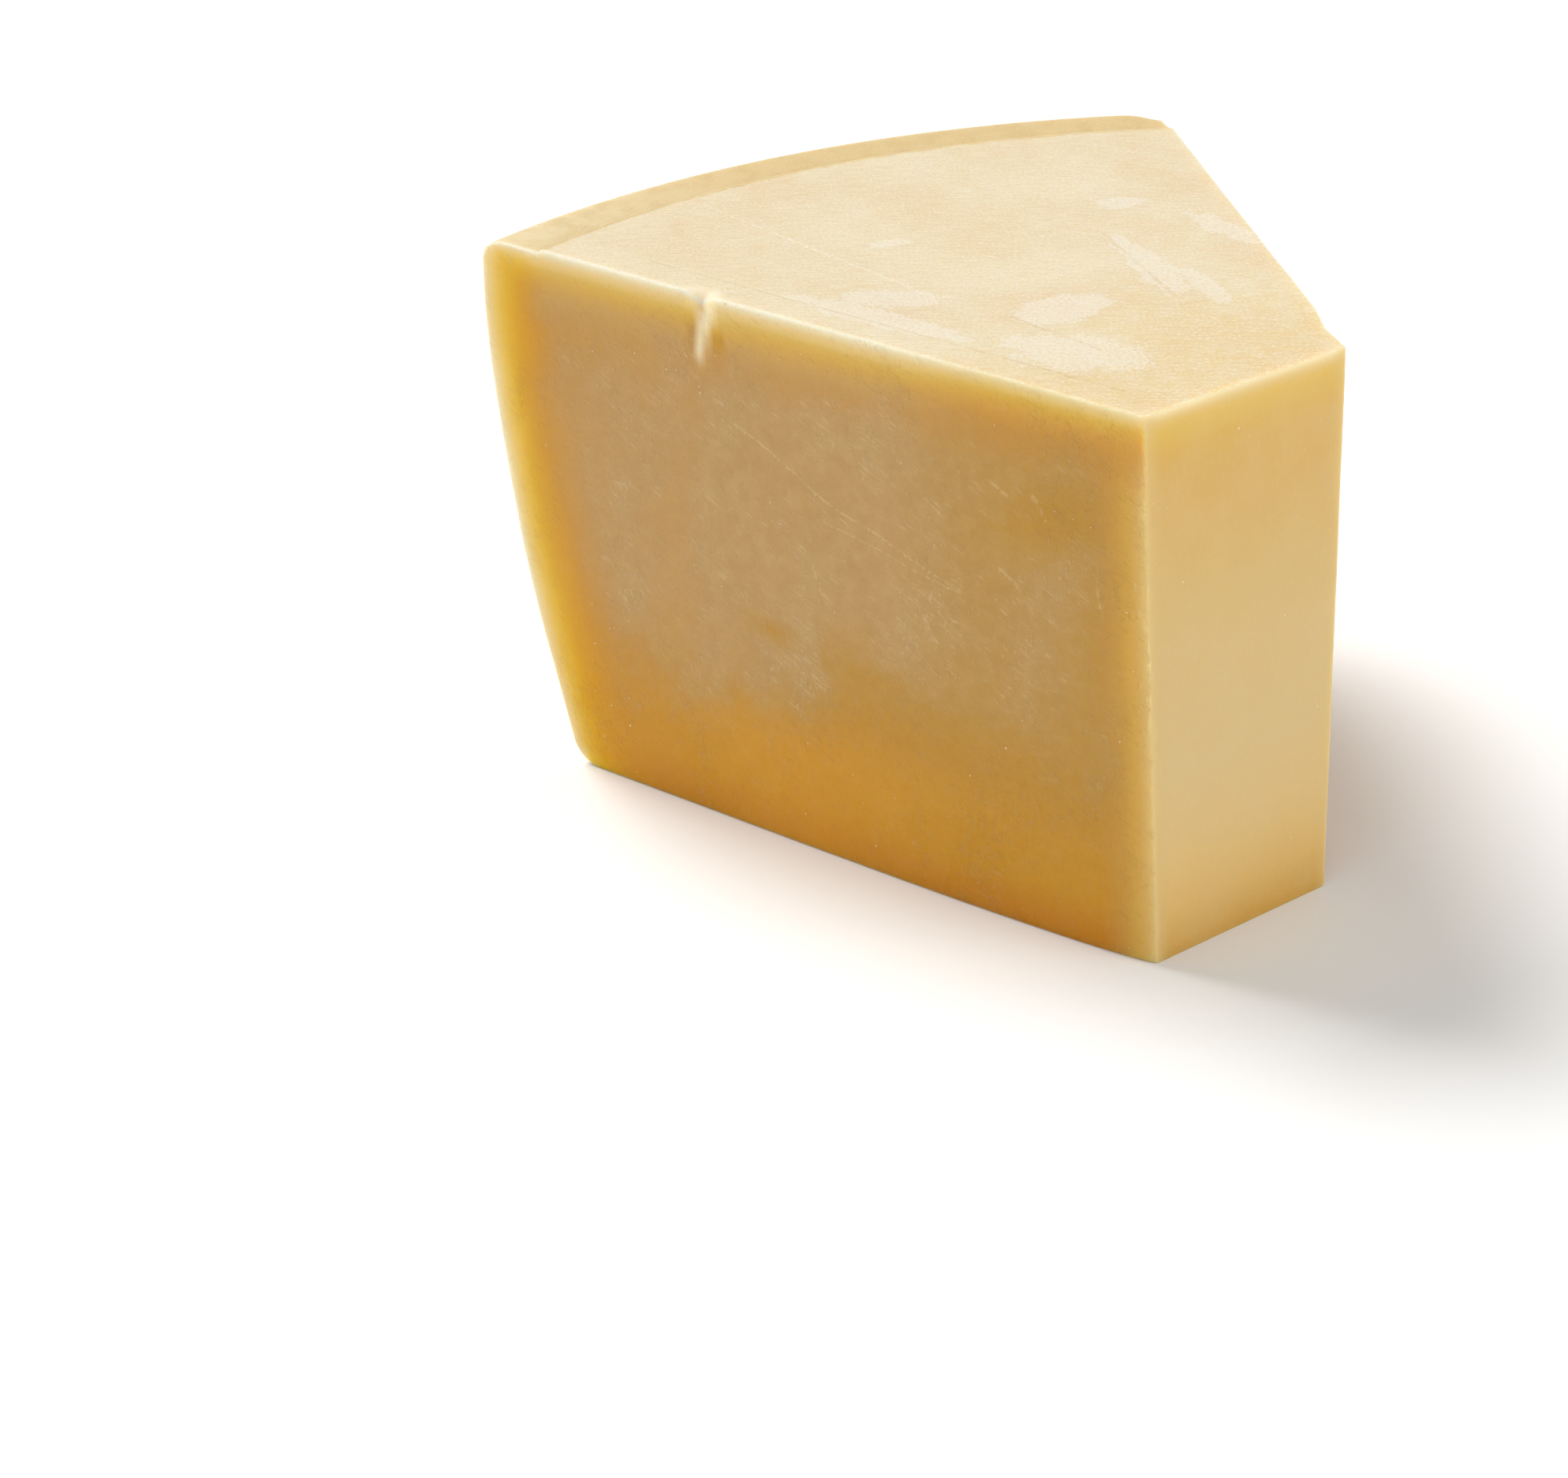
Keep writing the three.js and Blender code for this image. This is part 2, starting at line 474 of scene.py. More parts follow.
def wedge_tree(finishes):
    tree, sizes = new_geometry_tree("cheese_wedge_growth", SIZES)
    block = tree.add("GeometryNodeMeshCube", {}, dict({"Size": (1.0, 1.0, 1.0)}, **GRID))

    place = parts_of(tree.add("GeometryNodeInputPosition"))
    share_x, share_y, share_z = (part + 0.5 for part in place)
    share_x = crowd_ends(crowd(share_x, **NICK_CROWDING))
    x = share_x * BLOCK_LENGTH
    width = blend(TIP_WIDTH, RIND_WIDTH, share_x)
    y = crowd_ends(share_y) * width
    z = crowd_ends(share_z) * sizes["Wheel height"]
    x, y, z = round_cut_edges(sizes, x, y, z, width)
    width = blend(TIP_WIDTH, RIND_WIDTH, x / BLOCK_LENGTH)
    gaps = {"tip_gap": x, "rind_gap": BLOCK_LENGTH - x, "front_gap": y, "back_gap": width - y,
            "top_gap": sizes["Wheel height"] - z, "foot_gap": z}
    block = store(block, gaps)
    inputs = {"Geometry": block, "Position": vector_of(tree, x, y, z)}
    shape = tree.add("GeometryNodeSetPosition", {}, inputs)

    x, y, z = parts_of(tree.add("GeometryNodeInputPosition"))
    share = y / blend(TIP_WIDTH, RIND_WIDTH, x / BLOCK_LENGTH)
    x, z = round_rind_edges(sizes, x, z)
    point = place_in_wheel(sizes, x, share, z)
    inputs = {"Geometry": shape, "Position": vector_of(tree, *point)}
    shape = tree.add("GeometryNodeSetPosition", {}, inputs)

    shape = relief(shape, sizes)
    inputs = {"Geometry": shape, "Translation": (-MIDDLE[0] * MILLIMETRE, -MIDDLE[1] * MILLIMETRE, 0.0),
              "Scale": (MILLIMETRE,) * 3}
    shape = tree.add("GeometryNodeTransform", {}, inputs)
    shape = tree.add("GeometryNodeSetShadeSmooth", {}, {"Geometry": shape})
    finish_tree(tree, shape, sizes, side_dressings(tree, finishes))
    return tree


def side_dressings(tree, finishes):
    """The faces that lie nearest to the long cuts, the tip cut and the rind, each with its finish."""
    sides = ("front", "back", "tip", "rind", "top", "foot")
    gaps = {side: stored(tree, side + "_gap") for side in sides}
    nearest = {
        "long_cut": at_most(gaps["front"], gaps["back"]),
        "tip_cut": gaps["tip"],
        "rind": gaps["rind"],
    }
    flat = at_most(gaps["top"], gaps["foot"])
    dressings = []
    for side, gap in nearest.items():
        others = flat
        for name, other in nearest.items():
            if name != side:
                others = at_most(others, other)
        dressings.append((gap.maths("LESS_THAN", others), finishes[side]))
    return dressings


def soft_mark(x, y, centre, reach, turn, taper=0.0):
    """A soft ellipse on a face: 1 in its middle, 0 on its outline. The turn is in degrees, and a
    taper makes it wider at its far end."""
    cosine = math.cos(math.radians(turn))
    sine = math.sin(math.radians(turn))
    x = x - centre[0]
    y = y - centre[1]
    along = (x * cosine + y * sine) / reach[0]
    across = (y * cosine - x * sine) / reach[1] / (1.0 + along * taper)
    return at_least(1.0 - length_of(along, across), 0.0)


def all_marks(x, y, marks):
    """The strongest of a list of soft marks at each place."""
    strongest = 0.0
    for mark in marks:
        strongest = soft_mark(x, y, *mark).maths("MAXIMUM", strongest)
    return strongest


# Pale smears on the top, in plan: middle, half length and half width, turn, taper.
SMEARS = [
    ((-44.0, 59.0), (24.0, 4.6), -34.0, 0.75),
    ((-28.5, 55.5), (13.0, 3.0), -34.0, 0.3),
    ((-43.5, 30.0), (12.5, 8.0), 72.0, -0.15),
    ((-71.5, 16.5), (13.0, 5.2), 30.0, 0.0),
    ((-88.5, 39.0), (7.0, 2.2), 55.0, 0.0),
    ((-41.0, 82.5), (13.0, 4.0), -17.0, 0.0),
    ((-64.0, 83.0), (8.0, 3.6), 60.0, 0.0),
    ((-30.0, 14.0), (17.0, 11.0), 20.0, 0.0),
    ((-68.0, 7.0), (24.0, 5.0), 3.0, 0.0),
]

# Places on the front cut, seen square on, where the dry haze is thin, and where it is thick.
THIN_HAZE = [
    ((-87.0, 44.5), (9.0, 4.0), -12.0, 0.0),
    ((-63.0, 41.5), (14.0, 3.6), -4.0, 0.0),
    ((-24.0, 84.0), (22.0, 9.0), 20.0, 0.0),
    ((-13.0, 60.0), (9.0, 26.0), 0.0, 0.0),
]
THICK_HAZE = [
    ((-86.0, 62.0), (26.0, 15.0), -15.0, 0.0),
    ((-38.0, 43.0), (20.0, 7.0), 8.0, 0.0),
    ((-96.0, 34.0), (16.0, 5.0), -20.0, 0.0),
    ((-50.0, 88.0), (20.0, 7.0), -8.0, 0.0),
]


def relief(shape, sizes):
    """What the knife, the nick and handling did to the surface."""
    tree = shape.tree
    position = tree.add("GeometryNodeInputPosition")
    x, y, z = parts_of(position)
    front_gap, back_gap, tip_gap, top_gap = (
        stored(tree, name) for name in ("front_gap", "back_gap", "tip_gap", "top_gap"))
    near_front = ease_off(front_gap, 0.0, 5.0)
    offset = crease_offset(x, top_gap)
    nick = nick_shape(offset, top_gap)
    hollow = bump_at(offset, HOLLOW_PLACE[0], HOLLOW_SIZE[0])
    hollow = hollow * bump_at(top_gap, HOLLOW_PLACE[1], HOLLOW_SIZE[1]) * near_front
    dimple = soft_mark(x, z, *DIMPLE) * sizes["Hollow depth"]
    nick_in = nick * sizes["Nick depth"] + hollow * sizes["Hollow depth"] + dimple
    nick_in = nick_in * square_fade(front_gap, 5.0)
    nick_down = nick * sizes["Notch depth"] * square_fade(top_gap, 8.0) * square_fade(front_gap, 4.5)
    on_top = ease_off(top_gap, 0.5, 1.5)
    haze = all_marks(x, z, THICK_HAZE) - all_marks(x, z, THIN_HAZE)
    shape = store(shape, {
        "nick_gap": blend(GLOW_REACH, nick_glow(offset, top_gap), near_front),
        "nick_hollow": hollow,
        "nick_streak": nick_streak(offset, top_gap) * near_front,
        "smear": all_marks(x, y, SMEARS) * on_top,
        "haze_shift": haze * near_front,
    })

    moved = tree.add("ShaderNodeVectorMath", {"operation": "ADD"},
                     {0: position, 1: vector_of(tree, sizes["Seed"], 0.0, 0.0)})
    off_floor = ease(z, 0.2, 2.5)
    edge = ease_off(front_gap.maths("MAXIMUM", tip_gap), 0.3, 2.2)
    chipped = 0.25 + bump_at(z, 64.0, 14.0)
    chips = ease(noise(moved, 0.33, 3.0, 0.6), 0.55, 0.68) * edge * chipped
    chips = chips * sizes["Chip depth"] * off_floor
    cuts = ease_off(at_most(at_most(front_gap, back_gap), tip_gap), 0.0, 0.9)
    waver = (noise(moved, 0.045, 1.0) - 0.5) * (2.0 * sizes["Knife waver"]) * cuts * off_floor
    normal = tree.add("GeometryNodeInputNormal")
    along_normal = tree.add("ShaderNodeVectorMath", {"operation": "SCALE"},
                            {0: normal, "Scale": waver - chips})
    dent = vector_of(tree, 0.0, nick_in, nick_down * -1.0)
    offset = tree.add("ShaderNodeVectorMath", {"operation": "ADD"}, {0: along_normal, 1: dent})
    return tree.add("GeometryNodeSetPosition", {}, {"Geometry": shape, "Offset": offset})


CRYSTAL_SIZES = {
    "Crystals per square metre": 34000.0,
    "Smallest crystal": 0.05,
    "Largest crystal": 0.2,
    "Seed": 11.0,
}


def crystal_tree():
    """Pale crystals, half sunk in the cut sides of the geometry that comes in."""
    tree, sizes = new_geometry_tree("cheese_crystal_growth", CRYSTAL_SIZES)
    side = at_most(stored(tree, "front_gap"), stored(tree, "back_gap"))
    side = at_most(side, stored(tree, "tip_gap"))
    on_cut = ease_off(side, 0.05, 0.3)
    patches = ease(noise(tree.add("GeometryNodeInputPosition"), 55.0, 3.0), 0.42, 0.66)
    density = sizes["Crystals per square metre"] * patches * on_cut
    seed = sizes["Seed"]
    inputs = {"Mesh": sizes.geometry(), "Density": density, "Seed": seed}
    points = tree.add("GeometryNodeDistributePointsOnFaces", {"distribute_method": "RANDOM"}, inputs)
    grain = tree.add("GeometryNodeMeshIcoSphere", {}, {"Radius": MILLIMETRE, "Subdivisions": 1})
    chance = tree.add("FunctionNodeRandomValue", {"data_type": "FLOAT"}, {"Seed": seed}, output=1)
    size = blend(sizes["Smallest crystal"], sizes["Largest crystal"], chance * chance * chance)
    inputs = {"Points": points, "Instance": grain, "Rotation": points.other("Rotation"),
              "Scale": vector_of(tree, size, size * 1.5, size * 0.6)}
    crystals = tree.add("GeometryNodeInstanceOnPoints", {}, inputs)
    finish_tree(tree, crystals, sizes)
    return tree


# ---------------------------------------------------------------------------------------------
# Finishes. Colours are given as the camera sees them on a screen, 0 to 255, with the studio's
# light on that face, and pigment() works out the paint.

# What the gloss adds, the light on each side, the palest paint, and the light's extra red.
GLOSS = 0.022
FRONT_LIGHT = 0.93
END_LIGHT = 1.20
TOP_LIGHT = 1.16
PALEST = 0.95
RED_GAIN = 1.035


def pigment(red, green, blue, light=FRONT_LIGHT):
    """The paint that shows as this screen colour under this much light, of which the red is a
    little more."""
    def paint(level, gain=1.0):
        level = level / 255.0
        linear = level / 12.92 if level <= 0.04045 else ((level + 0.055) / 1.055) ** 2.4
        return min(max((linear - GLOSS) / (light * gain), 0.0), PALEST)
    return (paint(red, RED_GAIN), paint(green), paint(blue), 1.0)


def dry_pigment(red, green, blue):
    """The paint for a screen colour on the wheel's dry flat sides or rind."""
    return pigment(red, green, blue, TOP_LIGHT)


def mix(share, first, second):
    """The first colour where the share is 0, the second where it is 1."""
    settings = {"data_type": "RGBA", "blend_type": "MIX", "clamp_factor": True}
    return share.tree.add("ShaderNodeMix", settings, {0: share, 6: first, 7: second}, output=2)


def layers(depth, stops):
    """Colour by depth in millimetres. A stop is a depth, a screen colour and the light there."""
    reach = stops[-1][0]
    spread = [(stop[0] / reach, pigment(*stop[1:])) for stop in stops]
    return depth.tree.add("ShaderNodeValToRGB", {"stops": spread}, {0: depth / reach})


def smooth_least(first, second):
    """The smaller of two gaps, rounded off where they meet."""
    return (at_least(first, 0.05) ** -4.0 + at_least(second, 0.05) ** -4.0) ** -0.25


def new_material(name):
    material = bpy.data.materials.new(name)
    material.use_nodes = True
    material.node_tree.nodes.clear()
    return material, Tree(material.node_tree)


class Face:
    """What the paint reads: the place, and the gap to each side of the wedge, in millimetres."""

    def __init__(self, tree):
        self.tree = tree
        place = tree.add("ShaderNodeTexCoord", output="Object")
        settings = {"operation": "MULTIPLY_ADD"}
        inputs = {0: place, 1: (1.0 / MILLIMETRE,) * 3, 2: (MIDDLE[0], MIDDLE[1], 0.0)}
        self.place = tree.add("ShaderNodeVectorMath", settings, inputs)
        self.x, self.y, self.z = parts_of(self.place)
        self.front = self.read("front_gap")
        self.back = self.read("back_gap")
        self.tip = self.read("tip_gap")
        self.rind = self.read("rind_gap")
        self.top = self.read("top_gap")
        self.foot = self.read("foot_gap")

    def read(self, name):
        settings = {"attribute_type": "GEOMETRY", "attribute_name": name}
        return self.tree.add("ShaderNodeAttribute", settings, output="Fac")

    def stretched(self, across, up):
        """The place with its plan and its height scaled apart, for streaks."""
        return self.tree.add("ShaderNodeVectorMath", {"operation": "MULTIPLY"},
                             {0: self.place, 1: (across, across, up)})


def stroke(x, y, start, end, width):
    """1 on a straight line between two points of a face, 0 beyond its width."""
    run = (end[0] - start[0], end[1] - start[1])
    length = math.hypot(*run)
    cosine = run[0] / length
    sine = run[1] / length
    along = x * cosine + y * sine - (start[0] * cosine + start[1] * sine)
    away = y * cosine - x * sine - (start[1] * cosine - start[0] * sine)
    beyond = at_least(abs(along - length / 2) - length / 2, 0.0)
    return ease_off(length_of(away, beyond), width * 0.3, width)


def strokes(x, y, lines):
    """1 on any of these lines. A line is its start, its end and its width."""
    drawn = 0.0
    for start, end, width in lines:
        drawn = stroke(x, y, start, end, width).maths("MAXIMUM", drawn)
    return drawn


# Inwards from the rind on the long cuts, a painted glow of light shining through the rind edge: pale,
# then gold, then a deeper gold.
RIND_GLOW = [
    (0.0, 231, 214, 192, 1.05), (1.0, 234, 217, 182, 1.05), (2.0, 236, 212, 152, 1.02),
    (3.0, 234, 204, 122, 0.98), (4.0, 231, 195, 98, 0.96), (5.0, 227, 186, 80), (6.5, 220, 173, 64),
    (8.0, 215, 163, 62), (10.0, 210, 156, 63), (12.0, 205, 151, 68), (14.0, 202, 150, 76),
    (18.0, 197, 149, 87),
]

# The same near the foot, where it is more saturated.
RIND_GLOW_LOW = [
    (0.0, 224, 198, 162, 1.05), (1.0, 228, 202, 154, 1.05), (2.0, 230, 202, 131, 1.02),
    (3.0, 229, 195, 100, 0.98), (4.0, 226, 185, 74, 0.96), (6.5, 219, 168, 46), (8.0, 215, 158, 43),
    (10.0, 212, 154, 45), (12.0, 209, 150, 49), (14.0, 206, 147, 50), (18.0, 203, 144, 57),
]

# Down from the top of the long cuts, a painted glow of light shining through the top edge: near the
# rind and in the middle, and near the tip.
TOP_GLOW = [
    (0.0, 241, 231, 210, 1.14), (1.0, 236, 220, 186, 1.08), (2.0, 231, 205, 147, 1.0),
    (3.0, 227, 197, 128, 0.98), (4.0, 220, 184, 102, 0.96), (5.0, 216, 175, 91), (6.0, 213, 170, 88),
    (8.0, 209, 164, 91), (10.0, 205, 160, 94), (12.0, 202, 157, 98),
]
TOP_GLOW_TIP = [
    (0.0, 228, 212, 176, 1.08), (1.0, 228, 205, 154, 1.05), (2.0, 226, 198, 124, 1.0),
    (3.0, 221, 183, 91, 0.98), (4.0, 216, 173, 81, 0.96), (6.0, 209, 159, 78), (8.0, 204, 152, 72),
    (12.0, 192, 141, 73),
]

# Inwards from the edge between a long cut and the tip cut, a painted glow of light shining through that
# edge.
TIP_GLOW = [
    (0.0, 210, 182, 130, 1.0), (1.0, 212, 182, 116, 0.97), (2.0, 211, 174, 103, 0.94),
    (3.0, 209, 168, 90), (4.0, 207, 164, 83), (6.0, 201, 156, 78), (8.0, 198, 152, 77),
    (10.0, 195, 148, 77),
]

# Up a long cut where no haze covers it: amber, darker and browner towards the foot, partly the cheese's
# colour and partly painted shade and warm reflected light.
AMBER_AND_FOOT_SHADE = [
    (0.0, 148, 93, 38, 0.56), (1.0, 164, 109, 42, 0.65), (3.0, 177, 120, 45, 0.74),
    (6.0, 184, 129, 48, 0.80), (10.0, 190, 138, 50, 0.84), (20.0, 193, 143, 58, 0.88),
    (30.0, 190, 143, 65), (45.0, 189, 144, 70),
]

# Up the tip cut: darker and browner towards the foot, painted shade, and near the top a painted glow of
# light shining through the top edge, gold and then pale.
TIP_CUT = [
    (0.0, 188, 142, 72, 0.85), (1.5, 191, 146, 76, 0.92), (3.0, 197, 154, 84, 0.95),
    (10.0, 213, 174, 107, 1.02), (17.0, 218, 183, 122, 1.06), (24.0, 219, 186, 130, 1.09),
    (38.0, 218, 188, 135, 1.14), (50.0, 218, 187, 132, 1.17), (60.0, 218, 186, 130, 1.18),
    (73.0, 217, 183, 122, END_LIGHT), (90.0, 218, 178, 108, 1.22), (98.0, 220, 179, 105, 1.24),
    (102.0, 224, 180, 96, 1.25), (106.0, 228, 189, 98, 1.25), (107.0, 230, 192, 106, 1.25),
    (108.0, 231, 198, 129, 1.25), (109.0, 235, 211, 158, 1.25), (110.0, 240, 221, 184, 1.25),
]

# Fine pale scratches on the front cut, seen square on: from, to and width.
FRONT_SCRATCHES = [
    ((-98.4, 87.8), (-73.2, 74.9), 0.5),
    ((-73.2, 74.9), (-41.0, 65.1), 0.45),
    ((-78.0, 71.7), (-42.7, 65.1), 0.3),
    ((-37.0, 89.4), (-33.5, 87.6), 0.6),
    ((-27.4, 88.6), (-24.2, 84.8), 0.8),
    ((-35.6, 72.4), (-30.9, 69.8), 0.6),
    ((-13.4, 76.4), (-12.7, 70.8), 0.6),
    ((-5.9, 77.6), (-3.8, 68.9), 0.9),
]


def long_cut_paint(face):
    """The two long cuts: amber, under a dry haze that stops at a ragged edge, with a painted glow of
    light shining through their edges, and painted shade towards the foot.
    """
    far = ease_off(face.back, 1.0, 3.0)
    along = blend(face.x, face.tip * -0.93 - 5.0, far)
    broad = noise(face.stretched(1.0, 0.6), 0.07, 4.0) - 0.5
    fine = noise(face.stretched(1.5, 0.7), 1.0, 3.0, 0.6) - 0.5
    haze_edge = ease(along, -92.0, -70.0, 30.0, 43.0)
    haze = ease(face.z + broad * 28.0 + fine * 6.0 - haze_edge, -15.0, 15.0)
    golden_top = ease(along, -55.0, -20.0) * ease(face.z, 68.0, 95.0)
    shift = face.read("haze_shift")
    haze = haze * (1.0 - golden_top * 0.6 + at_most(shift, 0.0) * 0.9) + at_least(shift, 0.0) * 0.25
    # Amber by height, with painted shade and warm reflected light towards the foot.
    amber = layers(face.z, AMBER_AND_FOOT_SHADE)
    brighter = bump_at(along, -80.0, 30.0) * ease_off(face.z, 18.0, 38.0)
    amber = mix(brighter * 0.5, amber, pigment(201, 144, 56, 0.8))
    dry = mix(ease(along, -62.0, -42.0), pigment(190, 153, 102), pigment(187, 148, 89))
    colour = mix(haze, amber, dry)

    mottle = noise(face.place, 0.3, 4.0, 0.6)
    colour = mix(ease(broad, -0.05, 0.2) * haze * 0.16, colour, pigment(208, 176, 130))
    colour = mix(ease(mottle, 0.4, 0.75) * (0.04 + haze * 0.08), colour, pigment(222, 190, 140))
    colour = mix(ease(mottle, 0.25, 0.5, 0.08, 0.0), colour, pigment(158, 114, 54))
    marks = ease(fine + broad * 0.5, 0.13, 0.24)
    slanted = vector_of(face.tree, along * 0.22 - face.z * 0.11, 0.0, along * 0.9 + face.z * 1.8)
    hatching = ease(noise(slanted, 1.0, 2.0) + broad * 0.35, 0.57, 0.67) * ease(mottle, 0.42, 0.55)
    colour = mix(hatching * (0.1 + haze * 0.3), colour, pigment(220, 188, 142))
    colour = mix(marks * (0.12 + haze * 0.22), colour, pigment(226, 196, 150))

    # Painted glow of light shining through the edge with the tip cut.
    colour = mix(ease_off(face.tip, 4.0, 13.0), colour, layers(face.tip, TIP_GLOW))
    # Painted glow down from the top edge and the nick's lit corner.
    below_top = smooth_least(face.top, face.read("nick_gap"))
    glow = mix(ease(along, -62.0, -35.0), layers(below_top, TOP_GLOW), layers(below_top, TOP_GLOW_TIP))
    depth_shift = 1.0 + broad * 0.5
    colour = mix(ease_off(below_top * depth_shift, 4.0, GLOW_REACH), colour, glow)
    # Painted glow in from the rind edge.
    depth = smooth_least(face.rind, below_top * 1.3) * depth_shift
    share = ease(face.rind, 8.0, 18.0) * ease_off(face.top, 8.0, 18.0)
    share = ease_off(depth, 9.0, 24.0) * (1.0 - share)
    upper = ease(face.z, 15.0, 45.0) * ease(face.z, 78.0, 92.0, 1.0, 0.5)
    rind_glow = mix(upper, layers(depth, RIND_GLOW_LOW), layers(depth, RIND_GLOW))
    colour = mix(share, colour, rind_glow)
    # Painted shade in the hollow beside the nick.
    colour = mix(face.read("nick_hollow"), colour, pigment(200, 150, 56))
    # Painted highlight down the nick's lit corner.
    colour = mix(face.read("nick_streak") * 0.9, colour, pigment(240, 222, 184))
    scratches = strokes(face.x + broad * 7.0, face.z + fine * 1.2, FRONT_SCRATCHES)
    scratches = scratches * ease(mottle + fine, 0.36, 0.62) * (1.0 - far)
    colour = mix(scratches * 0.3, colour, pigment(226, 198, 150))
    return colour, marks * 0.5 + mottle * 0.5 + fine * 0.7 + hatching * 0.4 - scratches * 0.4


def tip_cut_paint(face):
    """The short cut: even and pale, with a faint cloud in it, painted shade towards its foot, and a
    painted glow along its top and along its edges with the long cuts.
    """
    colour = layers(face.z, TIP_CUT)
    cloud = noise(face.place, 0.09, 4.0)
    colour = mix(ease(cloud, 0.35, 0.7) * 0.16, colour, pigment(226, 199, 150, END_LIGHT))
    fine = noise(face.stretched(1.1, 0.7), 1.0, 3.0, 0.6)
    colour = mix(ease(fine, 0.5, 0.75) * 0.06, colour, pigment(235, 214, 172, END_LIGHT))
    # Paler towards the edges with the long cuts: painted glow of light shining through them.
    side = at_most(face.front, face.back)
    return mix(ease(side, 0.4, 4.0, 0.5, 0.0), colour, pigment(219, 190, 130, END_LIGHT)), fine


# Lines on the top, in plan: pale scratches, and the darker creases beside the smears.
TOP_SCRATCHES = [
    ((-128.7, 34.8), (-105.4, 29.8), 0.35),
    ((-105.4, 29.8), (-66.3, 21.3), 0.6),
]
TOP_CREASES = [
    ((-49.3, 21.5), (-27.5, 17.6), 0.55),
    ((-58.0, 67.0), (-30.0, 47.5), 0.7),
    ((-26.7, 44.8), (-24.2, 48.9), 0.8),
    ((-120.0, 5.6), (-14.0, 4.2), 0.45),
]


def skin_paint(face):
    """The wheel's flat sides: pale and dry, with smears, scratches and flecks."""
    cloud = noise(face.place, 0.045, 4.0)
    colour = mix(ease(cloud, 0.32, 0.68), dry_pigment(243, 225, 193), dry_pigment(240, 215, 179))
    spots = noise(face.place, 0.2, 4.0, 0.65)
    near_tip = ease_off(face.tip, 8.0, 60.0)
    colour = mix(near_tip * (0.35 + ease(spots, 0.4, 0.62) * 0.55), colour, dry_pigment(239, 209, 156))
    along_front = ease_off(face.front + (spots - 0.5) * 3.0, 7.0, 9.0)
    along_front = along_front * ease(face.tip, 30.0, 60.0)
    colour = mix(along_front * 0.35, colour, dry_pigment(244, 230, 198))
    grain = noise(face.place, 1.5, 3.0, 0.65)
    turned = vector_of(face.tree, face.x * 0.16 + face.y * 0.12, face.y * 1.2 - face.x * 0.9, face.z)
    speckle = grain + noise(turned, 1.0, 2.0) * 0.6 - 0.8
    colour = mix(ease(speckle, 0.0, 0.16) * 0.5, colour, dry_pigment(249, 237, 213))
    colour = mix(ease(speckle, -0.16, -0.01, 0.36, 0.0), colour, dry_pigment(228, 197, 144))

    field = face.read("smear") + (spots - 0.5) * 1.3 + (grain - 0.5) * 0.5
    smeared = ease(field, 0.14, 0.36) * ease(grain, 0.35, 0.6, 0.4, 1.0)
    colour = mix(smeared * 0.7, colour, dry_pigment(251, 239, 222))
    shifted = face.y + (spots - 0.5) * 2.0
    scratch = strokes(face.x, shifted, TOP_SCRATCHES)
    colour = mix(scratch * ease(grain, 0.4, 0.6) * 0.7, colour, dry_pigment(252, 243, 226))
    crease = strokes(face.x, shifted, TOP_CREASES) * ease(spots, 0.4, 0.6, 0.15, 1.0)
    colour = mix(crease * 0.45, colour, dry_pigment(224, 192, 140))
    flecks = ease(grain, 0.64, 0.7)
    return mix(flecks * 0.5, colour, dry_pigment(252, 243, 226)), grain + smeared * 0.4 - crease


def flat_paint(face):
    """The wheel's flat sides, with paler paint over the nick's notch, partly a pale smear and partly
    painted light lifting its shade, and with the yellower band along the rind beyond the painted shadow
    line of its step."""
    skin, height = skin_paint(face)
    shade = noise(face.place, 0.2, 4.0)
    band = mix(ease(face.y, -5.0, 70.0), dry_pigment(243, 220, 176), dry_pigment(232, 201, 148))
    band = mix(ease(shade, 0.4, 0.7) * 0.5, band, dry_pigment(222, 186, 128))
    band = mix(ease(height, 0.5, 0.7) * 0.3, band, dry_pigment(248, 234, 204))
    colour = mix(ease_off(face.rind, STEP_GAP - 0.5, STEP_GAP + 0.1), skin, band)
    # A painted shadow line along the step down to the band.
    line = bump_at(face.rind + (shade - 0.5) * 1.4, STEP_GAP, 0.75)
    colour = mix(line * 0.85, colour, dry_pigment(198, 160, 104))
    # Paler over the nick's notch: partly a pale smear, partly painted light lifting its shade.
    notch = ease(soft_mark(face.x, face.y, (NICK_PLACE, -1.5), (6.0, 3.5), 0.0), 0.0, 0.6)
    colour = mix(notch * 0.8, colour, dry_pigment(252, 236, 208))
    return mix(ease_off(face.rind, 0.0, 4.0), colour, dry_pigment(232, 206, 152)), height - line


def rind_paint(face):
    """The curved rind: dry and yellow like the band, clouded, and finely pitted."""
    cloud = noise(face.place, 0.05, 4.0)
    colour = mix(ease(cloud, 0.32, 0.68), dry_pigment(238, 213, 163), dry_pigment(228, 195, 138))
    spots = noise(face.place, 0.25, 4.0, 0.65)
    colour = mix(ease(spots, 0.45, 0.68) * 0.45, colour, dry_pigment(216, 180, 120))
    grain = noise(face.stretched(0.7, 1.0), 1.0, 4.0, 0.65)
    colour = mix(ease(grain, 0.5, 0.72) * 0.4, colour, dry_pigment(248, 232, 198))
    pits = ease_off(grain, 0.26, 0.38)
    colour = mix(pits * 0.5, colour, dry_pigment(196, 156, 96))
    rim = at_most(face.top, face.foot)
    colour = mix(ease_off(rim, 0.0, 4.0), colour, dry_pigment(232, 206, 152))
    return colour, grain + spots * 0.5 - pits * 0.5


